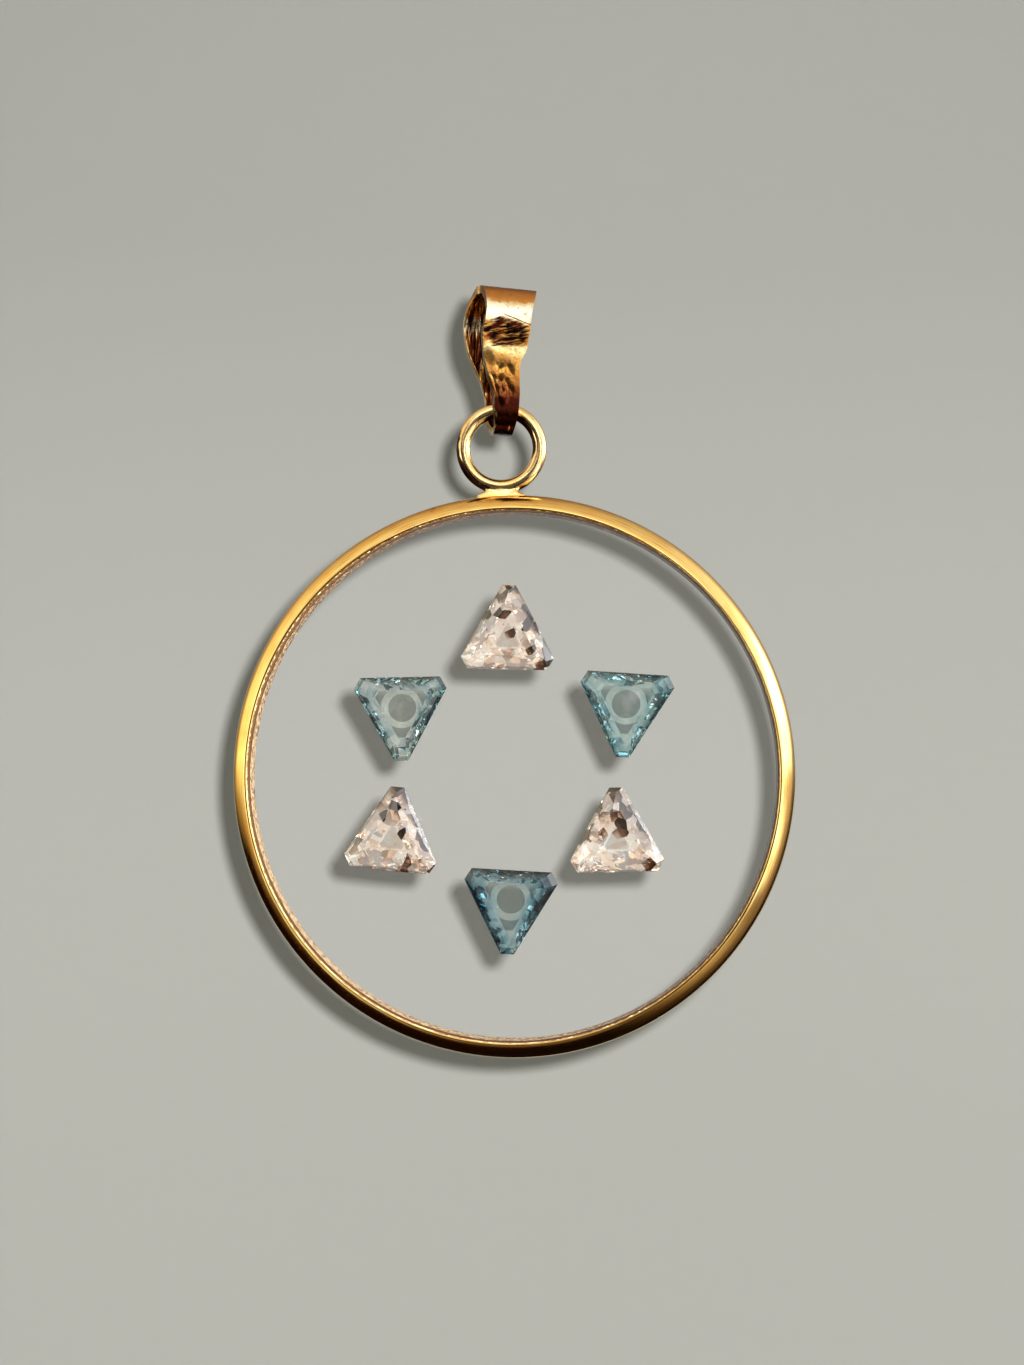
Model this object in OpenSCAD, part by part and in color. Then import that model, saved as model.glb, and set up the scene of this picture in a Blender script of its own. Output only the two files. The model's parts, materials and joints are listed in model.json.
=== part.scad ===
// A round gold pendant. A half-round band holds a clear pane, and six cut triangular
// stones stand over drilled seats on the pane as the six points of a hexagram. A wire
// eyelet is soldered on top of the band and hangs in a folded strap bail.
//
// X is to the right, Y to the back and Z up. The origin is the inner top of the
// bail, where a chain bears. The pendant faces -Y.

/* [Frame ring] */
// Outer diameter of the ring
ring_d = 30; // [26:0.5:40]
// Radial thickness of the half-round band
band_t = 0.94; // [0.8:0.02:1.4]
// Depth of the band, from front lip to back lip
band_depth = 2.4; // [2.1:0.1:4]
// Width of the blunt flat along each lip
lip_flat = 0.12; // [0.06:0.02:0.2]
// Depth of the groove inside the band that holds the pane
groove = 0.2; // [0.15:0.05:0.25]

/* [Eyelet] */
// Outer diameter of the wire eyelet
eyelet_d = 4.86; // [4.4:0.02:6]
// Thickness of the eyelet's round wire
eyelet_wire = 0.774; // [0.6:0.002:0.9]
// How far the eyelet stands left of the ring's centre line
eyelet_off = 0.56; // [0:0.02:1.5]
// Width of the solder pad along the band
pad_w = 2.2; // [1.4:0.1:3.2]
// Depth of the solder pad, front to back
pad_depth = 1.4; // [1:0.1:1.8]
// Height of the solder pad above the band
pad_rise = 0.29; // [0.2:0.01:0.6]
// How deep the eyelet's wire sinks into the pad
eyelet_sink = 0.22; // [0.1:0.01:0.4]

/* [Bail] */
// Outer height of the folded strap
bail_h = 7.8; // [7:0.1:10]
// Width of the strap at its top fold
bail_w = 3.2; // [2.6:0.1:4]
// Outer depth of the loop, front leaf to back leaf
bail_depth = 4; // [3.4:0.1:4.8]
// Thickness of the strap
bail_t = 0.4; // [0.3:0.02:0.5]
// Width of the strap where it holds the eyelet
tongue_w = 1.36; // [1.1:0.02:1.4]
// Room between the eyelet's wire and the bail's lower bend
bend_gap = 0.55; // [0.53:0.01:0.65]
// Turn of the bail about the vertical, as it hangs
bail_yaw = 15; // [0:1:16]
// Lean of the bail to the right, as it hangs
bail_lean = 2.5; // [0:0.5:4]

/* [Pane] */
// Thickness of the clear pane
pane_t = 0.9; // [0.8:0.05:1.1]
// How far the pane's front lies behind the front lip
pane_set = 0.25; // [0.2:0.05:0.3]
// Room between the pane and its groove
pane_gap = 0.05; // [0.02:0.01:0.1]

/* [Seats in the pane] */
// Radius of a drilled seat
seat_r = 0.75; // [0.5:0.05:0.9]
// Radius of a seat's countersunk mouth
seat_mouth_r = 1.1; // [1:0.05:1.3]
// Depth of the countersink
seat_sink = 0.35; // [0.2:0.05:0.4]
// Depth of a drilled seat
seat_depth = 0.6; // [0.5:0.05:0.65]
// Room between a stone and the pane
stone_gap = 0.05; // [0.02:0.01:0.1]

/* [Star] */
// Distance from the star's centre to each stone's centre
star_r = 6.9; // [6:0.1:8.4]
// Height of the star's centre above the ring's centre
star_rise = 0.24; // [0:0.02:0.6]

/* [Stones] */
// Width of a stone across its base
stone_w = 4.9; // [4.4:0.1:5.6]
// Height of a stone from base to point
stone_h = 4.4; // [3.9:0.1:5]
// Length of each cut corner
corner_cut = 0.7; // [0.4:0.05:1]
// Thickness of the girdle
girdle_t = 0.12; // [0.06:0.02:0.2]
// Height of the girdle above the pane
girdle_rise = 0.55; // [0.4:0.05:0.8]
// Size of a clear stone's flat culet, as a share of the stone
clear_culet_share = 0.26; // [0.2:0.02:0.4]
// Size of a blue stone's flat culet, as a share of the stone
blue_culet_share = 0.56; // [0.4:0.02:0.6]
// Height of a clear stone's crown above its girdle
clear_crown = 0.5; // [0.3:0.05:0.8]
// Height of a blue stone's crown above its girdle
blue_crown = 0.38; // [0.25:0.01:0.6]

/* [Hidden] */
$fn = 96;
eps = 0.01;
gold = [0.86, 0.62, 0.27];
clear = [0.93, 0.89, 0.85];
blue = [0.48, 0.66, 0.70];

ring_r = ring_d / 2;
lip_r = ring_r - band_t;
groove_r = lip_r + groove;
pane_front = pane_set - band_depth / 2;
// The half-round face runs through the band's crown and the outer end of each lip.
face_sag = band_t - lip_flat;
face_r = (pow(band_depth / 2, 2) + pow(face_sag, 2)) / (2 * face_sag);

bend_r = eyelet_wire / 2 + bend_gap;
fold_r = bail_depth / 2 - bail_t;
fold_z = -fold_r;
bend_z = -(bail_h - 2 * bail_t) + bend_r;

// The eyelet's top wire runs through the centre of the bail's lower bend.
eyelet_r = (eyelet_d - eyelet_wire) / 2;
eyelet_x = bend_z * sin(bail_lean);
eyelet_z = bend_z * cos(bail_lean) - eyelet_r;
ring_x = eyelet_x + eyelet_off;
ring_z = eyelet_z - eyelet_d / 2 + eyelet_sink - pad_rise
    - sqrt(pow(ring_r, 2) - pow(eyelet_off, 2));
// The pad reaches down into the band and leaves a thin wall over the groove.
pad_wall = 0.05;
pad_root = band_t - groove - pad_wall;

// The outline of the strap from its top to its lower bend. Each row gives a height as
// a share of the bail's height above the lower bend, then the left and right edges as
// shares of the strap's half width at the fold.
FRONT_LEAF = [
    [1.00, -0.95, 1.00],
    [0.88, -0.88, 0.80],
    [0.74, -0.85, 0.64],
    [0.55, -0.97, 0.60],
    [0.42, -0.90, 0.53],
    [0.38, -0.88, 0.36],
    [0.27, -0.74, 0.36]];
BACK_LEAF = [
    [1.00, -0.95, 1.00],
    [0.88, -1.16, 0.96],
    [0.74, -1.24, 0.90],
    [0.55, -1.12, 0.80],
    [0.42, -0.92, 0.66],
    [0.27, -0.60, 0.50]];
// The same at the eyelet and at the bottom, as shares of half the tongue's width.
TONGUE = [
    [0.10, -1.00, 1.00],
    [-0.04, -1.00, 1.00],
    [-0.16, -0.62, 0.86]];

// The stones: bearing from the star's centre in degrees clockwise from the top,
// distance as a share of the star's radius, and a small clockwise turn in degrees.
TOP_PLACE = [-1, 1.01, 1.5];
RIGHT_UPPER_PLACE = [59.5, 1.02, 4];
RIGHT_LOWER_PLACE = [123, 0.965, -1];
BOTTOM_PLACE = [180, 0.975, 3];
LEFT_LOWER_PLACE = [240, 1.04, 6];
LEFT_UPPER_PLACE = [300.5, 0.97, -1];
PLACES = [TOP_PLACE, RIGHT_UPPER_PLACE, RIGHT_LOWER_PLACE, BOTTOM_PLACE,
    LEFT_LOWER_PLACE, LEFT_UPPER_PLACE];

// The share of a stone's height that lies between its base and its centre
base_share = 0.36;
// How far the long sides of a clear stone bow out
side_bow_share = 1.02;
// The rings of facets. Each row gives a share of the stone's outline and a share of
// the height of the part that the ring lies in, below or above the girdle.
CLEAR_PAVILION = [0.68, 0.42];
CLEAR_BREAK = [0.90, 0.5];
CLEAR_TABLE = [0.56, 1];
BLUE_PAVILION = [0.86, 0.55];
BLUE_STEP = [0.89, 0.6];
BLUE_TABLE = [0.74, 1];
sin60 = sin(60);

// Six corners of a point-up stone, counter-clockwise from the lower left.
function outline() =
    let (low = -base_share * stone_h, high = (1 - base_share) * stone_h,
        half = stone_w / 2, c = corner_cut / 2)
    [[-half, low + 2 * c * sin60], [-half + c, low], [half - c, low],
        [half, low + 2 * c * sin60], [c, high], [-c, high]];

// Puts a slightly proud point in the middle of every second edge: the long ones.
function nine(six) =
    [for (i = [0:2]) each [six[2 * i], six[2 * i + 1],
        side_bow_share * (six[2 * i + 1] + six[(2 * i + 2) % 6]) / 2]];

function shares(ring, share) = [for (p = ring) p * share];
function mids(ring) =
    [for (i = [0:len(ring) - 1]) (ring[i] + ring[(i + 1) % len(ring)]) / 2];
function turned(ring, by = 1) = [for (i = [0:len(ring) - 1]) ring[(i + by) % len(ring)]];
// Stands a flat ring of points at a height in front of the pane.
function lift(ring, height) = [for (p = ring) [p.x, -height, p.y]];

// A convex stone from rings of equally many points, from the culet up to the table.
module cut_stone(rings) {
    n = len(rings[0]);
    last = (len(rings) - 1) * n;
    faces = [
        [for (i = [0:n - 1]) i],
        for (k = [0:len(rings) - 2]) for (i = [0:n - 1])
            let (a = k * n + i, b = k * n + (i + 1) % n)
            each [[a, a + n, b], [b, a + n, b + n]],
        [for (i = [n - 1:-1:0]) last + i]];
    hull() polyhedron([for (ring = rings) each ring], faces);
}

module clear_brilliant() {
    edge = nine(outline());
    top = girdle_rise + girdle_t;
    // Each ring is half a step round from the ring below, so its facets are triangles.
    cut_stone([
        lift(shares(edge, clear_culet_share), 0),
        lift(shares(mids(edge), CLEAR_PAVILION[0]), CLEAR_PAVILION[1] * girdle_rise),
        lift(turned(edge), girdle_rise),
        lift(turned(edge), top),
        lift(shares(turned(mids(edge)), CLEAR_BREAK[0]), top + CLEAR_BREAK[1] * clear_crown),
        lift(shares(turned(edge, 2), CLEAR_TABLE[0]), top + CLEAR_TABLE[1] * clear_crown)]);
}

module blue_step_cut() {
    edge = outline();
    top = girdle_rise + girdle_t;
    cut_stone([
        lift(shares(edge, blue_culet_share), 0),
        lift(shares(edge, BLUE_PAVILION[0]), BLUE_PAVILION[1] * girdle_rise),
        lift(edge, girdle_rise),
        lift(edge, top),
        lift(shares(edge, BLUE_STEP[0]), top + BLUE_STEP[1] * blue_crown),
        lift(shares(edge, BLUE_TABLE[0]), top + BLUE_TABLE[1] * blue_crown)]);
}

// Moves to a stone's centre on the front of the pane, point up.
module at_place(place) {
    reach = star_r * place[1];
    translate([ring_x + reach * sin(place[0]), pane_front,
            ring_z + star_rise + reach * cos(place[0])])
        rotate([0, place[2], 0])
        children();
}

module clear_stone(place) {
    color(clear)
        at_place(place)
        translate([0, -stone_gap, 0])
        clear_brilliant();
}

module blue_stone(place) {
    color(blue)
        at_place(place)
        translate([0, -stone_gap, 0])
        rotate([0, 180, 0])
        blue_step_cut();
}

module clear_stone_top() { clear_stone(TOP_PLACE); }
module clear_stone_left() { clear_stone(LEFT_LOWER_PLACE); }
module clear_stone_right() { clear_stone(RIGHT_LOWER_PLACE); }
module blue_stone_left() { blue_stone(LEFT_UPPER_PLACE); }
module blue_stone_right() { blue_stone(RIGHT_UPPER_PLACE); }
module blue_stone_bottom() { blue_stone(BOTTOM_PLACE); }

// A blind countersunk hole with its mouth at the origin, drilled to the back.
module seat() {
    rotate([-90, 0, 0]) {
        translate([0, 0, -eps]) cylinder(h = seat_depth + eps, r = seat_r);
        cylinder(h = seat_sink, r1 = seat_mouth_r, r2 = seat_r);
        translate([0, 0, -eps]) cylinder(h = 2 * eps, r = seat_mouth_r);
    }
}

module pane() {
    color([0.85, 0.88, 0.86, 0.35])
    difference() {
        translate([ring_x, pane_front, ring_z])
            rotate([-90, 0, 0])
            cylinder(h = pane_t, r = groove_r - pane_gap, $fn = 180);
        for (place = PLACES)
            at_place(place) seat();
    }
}

// The band's section, with the ring's axis at the left, the crown at the right and
// the front at the top.
module band_section() {
    difference() {
        intersection() {
            translate([ring_r - face_r, 0]) circle(r = face_r);
            translate([lip_r, -band_depth / 2]) square([band_t + eps, band_depth]);
        }
        translate([lip_r - eps, -pane_front - pane_t - pane_gap])
            square([groove + eps, pane_t + 2 * pane_gap]);
    }
}

// The pad is a stretch of a flat ring on the band, with its two ends flared down.
module solder_pad() {
    flare = pad_rise + pad_root;
    intersection() {
        translate([ring_x, 0, ring_z])
            rotate([90, 0, 0])
            difference() {
                cylinder(h = pad_depth, r = ring_r + pad_rise, center = true, $fn = 180);
                cylinder(h = 2 * pad_depth, r = ring_r - pad_root, center = true, $fn = 180);
            }
        translate([eyelet_x, pad_depth / 2 + eps, ring_z + ring_r])
            rotate([90, 0, 0])
            linear_extrude(pad_depth + 2 * eps)
            polygon([[-pad_w / 2 - flare, -flare], [pad_w / 2 + flare, -flare],
                [pad_w / 2 - pad_rise / 2, 2 * pad_rise],
                [-pad_w / 2 + pad_rise / 2, 2 * pad_rise]]);
    }
}

module frame_ring() {
    color(gold)
    union() {
        translate([ring_x, 0, ring_z])
            rotate([90, 0, 0])
            rotate_extrude($fn = 180) band_section();
        solder_pad();
        translate([eyelet_x, 0, eyelet_z])
            rotate([90, 0, 0])
            rotate_extrude() translate([eyelet_r, 0]) circle(d = eyelet_wire, $fn = 32);
    }
}

// A drop shape round two circles of different radii, one above the other.
module drop(r_top, z_top, r_low, z_low) {
    tilt = asin((r_top - r_low) / (z_top - z_low));
    c = cos(tilt);
    s = sin(tilt);
    translate([0, z_top]) circle(r = r_top);
    translate([0, z_low]) circle(r = r_low);
    polygon([[r_top * c, z_top - r_top * s], [r_low * c, z_low - r_low * s],
        [-r_low * c, z_low - r_low * s], [-r_top * c, z_top - r_top * s]]);
}

// The strap seen from the side, its front leaf on the left.
module strap_profile() {
    difference() {
        drop(fold_r + bail_t, fold_z, bend_r + bail_t, bend_z);
        drop(fold_r, fold_z, bend_r, bend_z);
    }
}

// A leaf's outline seen from the front, from its rows and the tongue's rows.
module leaf_outline(rows) {
    rise = bail_t - bend_z;
    half = bail_w / 2;
    left = concat([for (row = rows) [row[1] * half, bend_z + row[0] * rise]],
        [for (row = TONGUE) [row[1] * tongue_w / 2, bend_z + row[0] * rise]]);
    right = concat([for (row = rows) [row[2] * half, bend_z + row[0] * rise]],
        [for (row = TONGUE) [row[2] * tongue_w / 2, bend_z + row[0] * rise]]);
    n = len(left);
    crest = [[left[0].x, bail_t + 1], [right[0].x, bail_t + 1]];
    foot = [[right[n - 1].x, left[n - 1].y - 1], [left[n - 1].x, left[n - 1].y - 1]];
    polygon(concat(crest, right, foot, [for (i = [n - 1:-1:0]) left[i]]));
}

// Half of the loop, cut to its leaf's outline. The side is -1 in front and 1 behind.
module leaf(rows, side) {
    reach = bail_depth / 2 + 1;
    intersection() {
        translate([-bail_w, 0, 0])
            rotate([90, 0, 90])
            linear_extrude(2 * bail_w) strap_profile();
        translate([0, side > 0 ? reach : 0, 0])
            rotate([90, 0, 0])
            linear_extrude(reach) leaf_outline(rows);
    }
}

module bail() {
    color(gold)
        rotate([0, bail_lean, 0])
        rotate([0, 0, bail_yaw])
        union() {
            leaf(FRONT_LEAF, -1);
            leaf(BACK_LEAF, 1);
        }
}

bail();
frame_ring();
pane();
clear_stone_top();
clear_stone_left();
clear_stone_right();
blue_stone_left();
blue_stone_right();
blue_stone_bottom();
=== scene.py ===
"""A round gold pendant with a star of cut stones on a clear pane, dressed around its CAD frame.

Every length in a class is in millimetres, as on a jeweller's drawing, and is turned to metres
where a mesh is made. X is to the right, Y to the back and Z up, with the origin at the inner
top of the bail.
"""

from __future__ import annotations

import json
import logging
import math
from collections.abc import Callable, Iterator, Sequence
from contextlib import contextmanager
from dataclasses import dataclass, field, replace
from enum import Enum
from functools import partial
from typing import Any

import bmesh
import bpy
from bpy.types import Material, Node, NodeSocket, NodeTree, Object
from mathutils import Matrix, Vector


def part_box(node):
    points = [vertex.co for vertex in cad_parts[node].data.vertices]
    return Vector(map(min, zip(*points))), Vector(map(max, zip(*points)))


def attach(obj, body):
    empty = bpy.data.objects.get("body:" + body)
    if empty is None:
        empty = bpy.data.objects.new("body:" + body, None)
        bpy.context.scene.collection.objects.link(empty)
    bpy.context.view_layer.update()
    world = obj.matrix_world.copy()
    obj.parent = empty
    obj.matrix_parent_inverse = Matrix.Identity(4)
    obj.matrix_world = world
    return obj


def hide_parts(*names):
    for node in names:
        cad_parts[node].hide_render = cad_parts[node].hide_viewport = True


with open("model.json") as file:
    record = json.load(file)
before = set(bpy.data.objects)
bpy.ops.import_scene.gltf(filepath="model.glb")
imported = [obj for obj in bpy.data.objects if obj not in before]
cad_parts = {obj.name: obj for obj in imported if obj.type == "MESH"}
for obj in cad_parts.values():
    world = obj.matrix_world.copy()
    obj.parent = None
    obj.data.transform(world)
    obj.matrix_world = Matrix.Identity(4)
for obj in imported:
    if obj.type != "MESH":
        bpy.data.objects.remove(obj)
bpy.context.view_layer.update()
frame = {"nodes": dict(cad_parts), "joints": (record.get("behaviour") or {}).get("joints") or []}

LOG = logging.getLogger("pendant")
MM = 0.001
WELD_MM = 0.002

Colour = tuple[float, float, float, float]
Source = Node | NodeSocket
AddNode = Callable[..., Node]
Stops = tuple[tuple[float, str], ...]


class Slot(Enum):
    """The record's material slots."""

    GOLD = "gold"
    PANE = "pane"
    CLEAR = "clear_stone"
    BLUE = "blue_stone"


class Body(Enum):
    """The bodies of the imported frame."""

    HANGER = "hanger"
    DROP = "drop"


def linear(code: str) -> Colour:
    """Turns an sRGB hex colour to linear RGBA.

    Args:
        code: Six hex digits after a hash sign.

    Returns:
        The linear red, green and blue, and an alpha of 1.
    """
    parts = [int(code[i : i + 2], 16) / 255 for i in (1, 3, 5)]
    red, green, blue = (
        part / 12.92 if part <= 0.04045 else ((part + 0.055) / 1.055) ** 2.4 for part in parts
    )
    return red, green, blue, 1.0


def ramp(stops: Stops) -> list[tuple[float, Colour]]:
    """Gives a ramp's stops with their hex colours turned to linear RGBA."""
    return [(place, linear(code)) for place, code in stops]


def add_node(
    tree: NodeTree,
    kind: str,
    inputs: dict[str | int, Any] | Sequence[Any] = (),
    stops: Sequence[tuple[float, Colour]] = (),
    **settings: Any,
) -> Node:
    """Adds one shader node with its settings and links.

    Args:
        tree: The material's node tree.
        kind: The node's type name, without its ShaderNode prefix.
        inputs: The inputs' values in their order, or by name or index. A socket or a node
            is linked instead, and a node gives its first output in use.
        stops: Places and colours of a ramp's stops.
        **settings: Values of the node's own properties.

    Returns:
        The new node.
    """
    node = tree.nodes.new("ShaderNode" + kind)
    for name, value in settings.items():
        setattr(node, name, value)
    for key, value in inputs.items() if isinstance(inputs, dict) else enumerate(inputs):
        if isinstance(value, Node):
            value = next(socket for socket in value.outputs if socket.enabled)
        if isinstance(value, NodeSocket):
            tree.links.new(value, node.inputs[key])
        else:
            node.inputs[key].default_value = value
    if stops:
        elements = node.color_ramp.elements
        while len(elements) < len(stops):
            elements.new(0.5)
        for element, (place, colour) in zip(elements, stops):
            element.position, element.color = place, colour
    return node


def new_material(name: str) -> tuple[Material, AddNode]:
    """Makes an empty material.

    Args:
        name: The material's name.

    Returns:
        The material, and the function that adds a node to its cleared tree.
    """
    material = bpy.data.materials.new(name)
    material.use_nodes = True
    material.node_tree.nodes.clear()
    return material, partial(add_node, material.node_tree)


def dress(piece: Object, material: Material) -> None:
    """Gives a piece its one material.

    Args:
        piece: The mesh object.
        material: The finish.
    """
    piece.data.materials.clear()
    piece.data.materials.append(material)


def mm(x: float, y: float, z: float) -> Vector:
    """Gives a place or a shift in metres from its parts in millimetres."""
    return Vector((x * MM, y * MM, z * MM))


def hold(*pieces: Object) -> None:
    """Leaves edit mode and selects only some pieces, of which the first is active.

    Args:
        *pieces: The pieces, or none to deselect everything.
    """
    if bpy.context.object and bpy.context.object.mode != "OBJECT":
        bpy.ops.object.mode_set(mode="OBJECT")
    bpy.ops.object.select_all(action="DESELECT")
    for piece in pieces:
        piece.select_set(True)
    if pieces:
        bpy.context.view_layer.objects.active = pieces[0]


def settle(piece: Object) -> None:
    """Moves a piece's place and turn into its mesh, so that its object sits at the origin."""
    hold(piece)
    bpy.ops.object.transform_apply(location=True, rotation=True, scale=True)


def named(name: str) -> Object:
    """Names the primitive that was just added, and settles it.

    Args:
        name: The name of the piece and of its mesh.

    Returns:
        The piece.
    """
    piece = bpy.context.object
    piece.name = piece.data.name = name
    settle(piece)
    return piece


@contextmanager
def editing(piece: Object) -> Iterator[None]:
    """Puts one piece in edit mode, with nothing in it selected.

    Args:
        piece: The mesh object to edit.
    """
    hold(piece)
    bpy.ops.object.mode_set(mode="EDIT")
    bpy.ops.mesh.select_all(action="DESELECT")
    yield
    bpy.ops.object.mode_set(mode="OBJECT")


def pick(piece: Object, parts: str, test: Callable[[Any], bool]) -> None:
    """Selects those parts of a mesh in edit mode that pass a test.

    Args:
        piece: The mesh object in edit mode.
        parts: verts, edges or faces.
        test: Says whether a part is selected.
    """
    bpy.ops.mesh.select_mode(type={"verts": "VERT", "edges": "EDGE", "faces": "FACE"}[parts])
    bpy.ops.mesh.select_all(action="DESELECT")
    shape = bmesh.from_edit_mesh(piece.data)
    for part in getattr(shape, parts):
        part.select_set(test(part))
    shape.select_flush_mode()
    bmesh.update_edit_mesh(piece.data)


def cut(place: Vector, normal: tuple[float, float, float], clear: bool = False) -> None:
    """Cuts everything in edit mode along a plane.

    Args:
        place: A point of the plane in metres.
        normal: The plane's normal.
        clear: Whether what lies behind the plane is cleared away.
    """
    bpy.ops.mesh.select_all(action="SELECT")
    bpy.ops.mesh.bisect(plane_co=place, plane_no=normal, clear_inner=clear, threshold=1e-8)


def finish_with(piece: Object, kind: str, **settings: Any) -> None:
    """Adds a modifier to a piece and applies it.

    Args:
        piece: The mesh object.
        kind: The modifier's type.
        **settings: Values of the modifier's properties.
    """
    hold(piece)
    modifier = piece.modifiers.new(kind.lower(), kind)
    for name, value in settings.items():
        setattr(modifier, name, value)
    bpy.ops.object.modifier_apply(modifier=modifier.name)


def join(pieces: Sequence[Object]) -> Object:
    """Joins several meshes into the first.

    Args:
        pieces: The mesh objects.

    Returns:
        The joined object.
    """
    hold(*pieces)
    bpy.ops.object.join()
    return pieces[0]


def spin_round(centre: Vector, steps: int) -> None:
    """Spins everything in edit mode once round an axis that runs front to back.

    Args:
        centre: A point of the axis in metres.
        steps: The number of steps in the turn.
    """
    bpy.ops.mesh.select_all(action="SELECT")
    bpy.ops.mesh.spin(steps=steps, angle=math.tau, center=centre, axis=(0, 1, 0), use_auto_merge=True)
    close_up(WELD_MM * MM)


def close_up(weld: float) -> None:
    """Welds the corners that meet in edit mode, and turns the faces outwards.

    Args:
        weld: The distance within which corners are welded, in metres.
    """
    bpy.ops.mesh.select_all(action="SELECT")
    bpy.ops.mesh.remove_doubles(threshold=weld)
    bpy.ops.mesh.normals_make_consistent(inside=False)


def shade(piece: Object, degrees: float) -> None:
    """Shades a piece smooth, apart from its sharp edges.

    Args:
        piece: The mesh object.
        degrees: The angle from which an edge stays sharp.
    """
    hold(piece)
    bpy.ops.object.shade_smooth_by_angle(angle=math.radians(degrees))


@dataclass(frozen=True)
class Fade:
    """A mask's start and end along a measure, and its strength past the end and before the start."""

    start: float
    end: float
    past: float = 1.0
    before: float = 0.0

    def over(self, measure: Source) -> tuple[Any, ...]:
        """Gives the inputs of a Map Range node that fades over a measure."""
        return measure, self.start, self.end, self.before, self.past


@dataclass(frozen=True)
class PolishedGold:
    """Cast and drawn yellow gold, 14 karat, hand polished and some years in use.

    The polish gives mirror-like bright bands, drawn out along the metal by fine buffing
    lines, and the alloy's copper makes the gold orange where it reflects something dim.
    One side can be painted dark as shade, with blotchy edges, as on the eyelet's wire.
    """

    name: str = "polished_14k_gold"
    wear_and_painted_light: Stops = ((0.38, "#F4D083"), (0.68, "#EFC06E"))
    tarnish: str = "#A0652F"
    tarnish_fade: Fade = Fade(0.30, 0.46, past=0.0, before=0.5)
    dullness: Fade = Fade(0.3, 0.75, past=0.204, before=0.084)
    buffing_mm: float = 0.05
    blotch_mm: float = 1.4
    bump: float = 0.12
    # Painted shade: this near-black colour darkens the side that the next field points to, in blotches.
    grime_and_shade: str = "#2A120A"
    painted_shade_side: tuple[float, float, float] = (0.0, 0.0, 0.0)
    painted_shade_blotchiness: float = 0.8
    painted_shade_fade: Fade = Fade(0.54, 0.68)
    waves: float = 9.0
    line_mm: float = 0.02

    def material(self, centre: Vector) -> Material:
        """Builds the finish with buffing lines that run round a centre.

        Args:
            centre: The middle of the round piece, in metres.

        Returns:
            The material.
        """
        material, add = new_material(self.name)
        place = add("TexCoord").outputs["Object"]
        offset = add("VectorMath", (place, centre), operation="SUBTRACT")
        parts = add("SeparateXYZ", (offset,)).outputs
        flat = add("CombineXYZ", {"X": parts["X"], "Z": parts["Z"]})
        radius = add("VectorMath", (flat,), operation="LENGTH")
        bearing = add("VectorMath", (flat,), operation="NORMALIZE")
        around = add("SeparateXYZ", (bearing,)).outputs
        # The lines are close across the metal and long along it.
        section = add("CombineXYZ", {"X": radius, "Y": parts["Y"]})
        fine = add("VectorMath", {0: section, "Scale": 1 / (self.buffing_mm * MM)}, operation="SCALE")
        sideways = add("Math", (around["X"], self.waves), operation="MULTIPLY")
        along = add("CombineXYZ", {"Z": sideways})
        lines_at = add("VectorMath", (fine, along), operation="ADD")
        wound = add("Math", (around["Z"], self.waves), operation="MULTIPLY")
        lines = add(
            "TexNoise", {"Vector": lines_at, "W": wound, "Scale": 1.0, "Detail": 2.0},
            noise_dimensions="4D",
        )
        blotches = add("TexNoise", {"Vector": place, "Scale": 1 / (self.blotch_mm * MM), "Detail": 4.0})
        wear_and_painted_light = add("ValToRGB", {"Fac": blotches}, stops=ramp(self.wear_and_painted_light))
        cavity = add("MapRange", self.tarnish_fade.over(lines))
        colour = add("Mix", {0: cavity, 6: wear_and_painted_light, 7: linear(self.tarnish)}, data_type="RGBA")
        # Painted shade: the side that faces the given direction is darkened, with blotchy edges.
        normal = add("NewGeometry").outputs["Normal"]
        facing = add("VectorMath", (normal, self.painted_shade_side), operation="DOT_PRODUCT")
        patchy = add("Math", (blotches, self.painted_shade_blotchiness, facing), operation="MULTIPLY_ADD")
        painted_shade_mask = add("MapRange", self.painted_shade_fade.over(patchy), interpolation_type="SMOOTHSTEP")
        with_painted_shade = add("Mix", {0: painted_shade_mask, 6: colour, 7: linear(self.grime_and_shade)}, data_type="RGBA")
        rough = add("MapRange", self.dullness.over(blotches))
        relief = add("Bump", {"Strength": self.bump, "Distance": self.line_mm * MM, "Height": lines})
        shader = add(
            "BsdfPrincipled", {"Base Color": with_painted_shade, "Metallic": 1.0, "Roughness": rough, "Normal": relief}
        )
        add("OutputMaterial", {"Surface": shader})
        return material


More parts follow.
